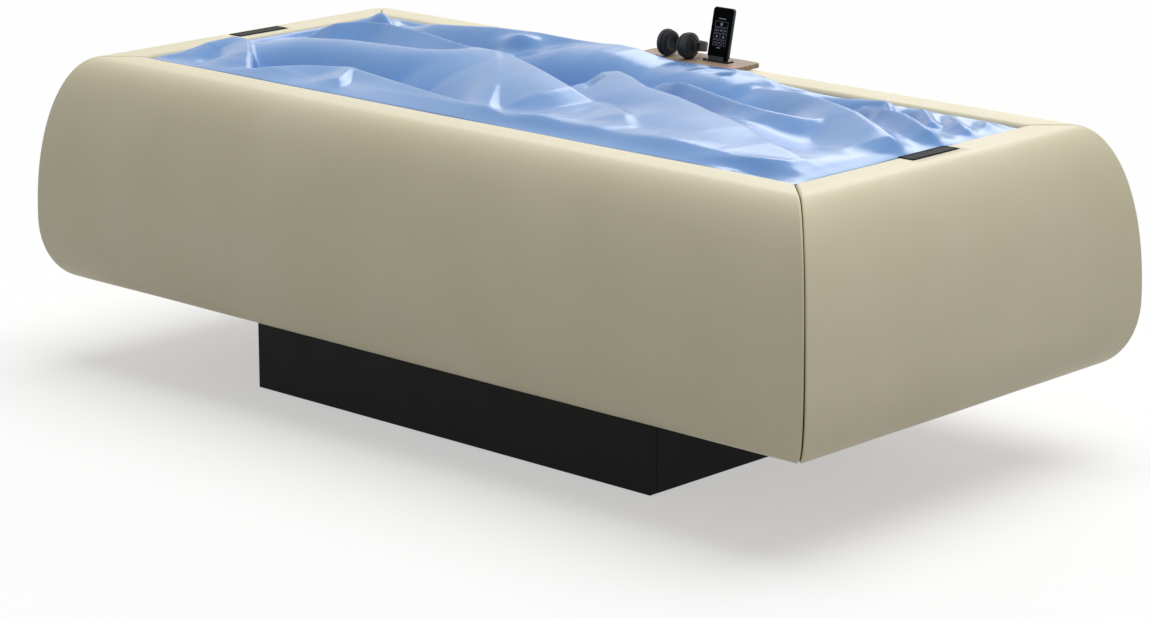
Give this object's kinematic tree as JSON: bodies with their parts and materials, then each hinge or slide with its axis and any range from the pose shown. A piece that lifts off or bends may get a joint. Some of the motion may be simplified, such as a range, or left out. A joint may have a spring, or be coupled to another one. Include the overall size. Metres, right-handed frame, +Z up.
{
  "type": "dry float bed",
  "caption": "Dry float bed: loose blue membrane over a heated water tank with a sinking platform, in a padded cream shell on a black plinth, with a tray for headphones and player",
  "frame": {"origin": "on the floor under the middle of the bed", "axes": "+X to the foot end along the length, +Y to the rear side with the tray, +Z up"},
  "size_m": [2.2, 1.07, 0.8097],
  "materials": {
    "leatherette": "cream leatherette, satin, finely grained",
    "membrane_film": "blue coated membrane, satin, loose folds",
    "black_board": "black lacquered board, matt",
    "frame_steel": "powder-coated steel tube, grey",
    "stainless": "brushed stainless steel",
    "aluminium": "mill-finish aluminium strip",
    "brass": "cast brass valve",
    "plywood": "birch plywood, unfinished",
    "polypropylene": "welded polypropylene sheet, grey-white",
    "rigid_foam": "rigid insulation foam",
    "rubber": "black moulded rubber",
    "heater_silicone": "red-brown silicone heating mat",
    "grey_plastic": "dark grey moulded plastic",
    "black_plastic": "black moulded plastic, fine texture",
    "dark_glass": "dark back-printed touch glass",
    "tray_wood": "greyish oiled wood",
    "ear_foam": "black ear foam under soft cloth"
  },
  "bodies": {
    "root": {"plinth_front": "black_board", "plinth_rear": "black_board", "plinth_head": "black_board", "plinth_foot": "black_board", "mains_gland": "black_plastic", "base_frame": "frame_steel", "leveller_head_front": "rubber", "leveller_head_rear": "rubber", "leveller_foot_front": "rubber", "leveller_foot_rear": "rubber", "deck_board": "plywood", "tub_frame": "frame_steel", "tank": "polypropylene", "floor_insulation": "rigid_foam", "side_insulation": "rigid_foam", "heating_mat": "heater_silicone", "temperature_probe": "stainless", "front_core": "rigid_foam", "rear_core": "rigid_foam", "head_core": "rigid_foam", "foot_core": "rigid_foam", "front_cover": "leatherette", "rear_cover": "leatherette", "head_cover": "leatherette", "foot_cover": "leatherette", "rim_frame": "plywood", "clamp_frame": "aluminium", "membrane": "membrane_film", "bellows_head": "rubber", "bellows_foot": "rubber", "air_port_head": "stainless", "air_port_foot": "stainless", "air_pump": "grey_plastic", "air_hose_head": "rubber", "air_hose_foot": "rubber", "drain_fitting": "stainless", "drain_valve": "brass", "service_shelf": "frame_steel", "control_box": "grey_plastic", "head_touch_housing": "grey_plastic", "head_touch_glass": "dark_glass", "foot_touch_housing": "grey_plastic", "foot_touch_glass": "dark_glass", "tray_board": "tray_wood", "tray_bracket": "stainless", "player_dock": "black_plastic"},
    "platform": {"lift_panel": "polypropylene", "lift_beam_head": "stainless", "lift_beam_foot": "stainless"},
    "lever": {"drain_lever": "frame_steel"},
    "player": {"player_case": "black_plastic", "player_glass": "dark_glass"},
    "headphones": {"headband": "black_plastic", "headband_pad": "ear_foam"},
    "left_arm": {"left_yoke": "black_plastic"},
    "right_arm": {"right_yoke": "black_plastic"},
    "left_ear": {"left_cup": "black_plastic", "left_cushion": "ear_foam"},
    "right_ear": {"right_cup": "black_plastic", "right_cushion": "ear_foam"}
  },
  "joints": [
    {"name": "platform_lift", "type": "slide", "parent": "root", "child": "platform", "axis": [0, 0, 1], "range_m": [-0.2, 0], "deforming": ["bellows_head", "bellows_foot"]},
    {"name": "drain_turn", "type": "hinge", "parent": "root", "child": "lever", "pos_m": [-0.235, 0.0887, 0.119], "axis": [0, 1, 0], "range_deg": [0, 90]},
    {"name": "player_lift_off", "type": "slide", "parent": "root", "child": "player", "axis": [0, 0.2079, 0.9781], "range_m": [0, 0.12]},
    {"name": "headphones_lift_off", "type": "slide", "parent": "root", "child": "headphones", "axis": [0, 0, 1], "range_m": [0, 0.12]},
    {"name": "left_arm_slide", "type": "slide", "parent": "headphones", "child": "left_arm", "axis": [0, -1, 0], "range_m": [0, 0.015]},
    {"name": "right_arm_slide", "type": "slide", "parent": "headphones", "child": "right_arm", "axis": [0, -1, 0], "range_m": [0, 0.015]},
    {"name": "left_cup_swing", "type": "hinge", "parent": "left_arm", "child": "left_ear", "pos_m": [-0.0721, 0.39, 0.7246], "axis": [0, 0, 1], "range_deg": [-12, 12]},
    {"name": "right_cup_swing", "type": "hinge", "parent": "right_arm", "child": "right_ear", "pos_m": [0.0161, 0.39, 0.7246], "axis": [0, 0, 1], "range_deg": [-12, 12]}
  ]
}
